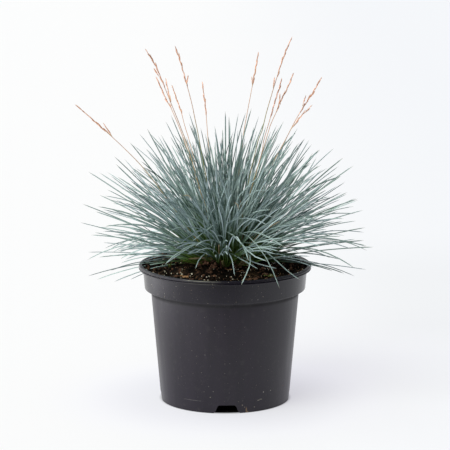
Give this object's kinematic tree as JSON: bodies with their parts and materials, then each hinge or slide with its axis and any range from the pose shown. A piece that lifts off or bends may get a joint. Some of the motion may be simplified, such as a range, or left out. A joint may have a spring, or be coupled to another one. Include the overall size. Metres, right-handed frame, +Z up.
{
  "type": "potted blue fescue clump",
  "caption": "Clump of needle-like blue-grey ornamental grass with dry flower stems, standing in a round black nursery pot.",
  "frame": {"origin": "on the floor, on the pot's axis, at the bottom centre of the whole plant", "axes": "+Z up along the pot's axis, -Y towards the front, where one of the foot ring's notches is"},
  "size_m": [0.2948, 0.2998, 0.363],
  "materials": {
    "pot_plastic": "moulded black plastic, satin, dusty",
    "peat": "damp peat mix with bark chips and perlite",
    "leaf": "fine blue-grey leaf with a waxy bloom",
    "dry_stem": "dry straw, salmon tan"
  },
  "bodies": {
    "root": {"flower_stem_01": "dry_stem", "flower_stem_02": "dry_stem", "flower_stem_03": "dry_stem", "flower_stem_04": "dry_stem", "flower_stem_05": "dry_stem", "flower_stem_06": "dry_stem", "flower_stem_07": "dry_stem", "flower_stem_08": "dry_stem", "flower_stem_09": "dry_stem", "flower_stem_10": "dry_stem", "flower_stem_11": "dry_stem", "leaf_tuft_01": "leaf", "leaf_tuft_02": "leaf", "leaf_tuft_03": "leaf", "leaf_tuft_04": "leaf", "leaf_tuft_05": "leaf", "leaf_tuft_06": "leaf", "leaf_tuft_07": "leaf", "leaf_tuft_08": "leaf", "leaf_tuft_09": "leaf", "leaf_tuft_10": "leaf", "leaf_tuft_11": "leaf", "leaf_tuft_12": "leaf", "leaf_tuft_13": "leaf", "leaf_tuft_14": "leaf", "leaf_tuft_15": "leaf", "leaf_tuft_16": "leaf", "leaf_tuft_17": "leaf", "leaf_tuft_18": "leaf", "leaf_tuft_19": "leaf", "leaf_tuft_20": "leaf", "leaf_tuft_21": "leaf", "leaf_tuft_22": "leaf", "leaf_tuft_23": "leaf", "leaf_tuft_24": "leaf", "leaf_tuft_25": "leaf", "leaf_tuft_26": "leaf", "leaf_tuft_27": "leaf", "leaf_tuft_28": "leaf", "leaf_tuft_29": "leaf", "leaf_tuft_30": "leaf", "leaf_tuft_31": "leaf", "leaf_tuft_32": "leaf", "leaf_tuft_33": "leaf", "leaf_tuft_34": "leaf", "leaf_tuft_35": "leaf", "leaf_tuft_36": "leaf", "leaf_tuft_37": "leaf", "pot": "pot_plastic", "potting_soil": "peat"}
  },
  "joints": []
}
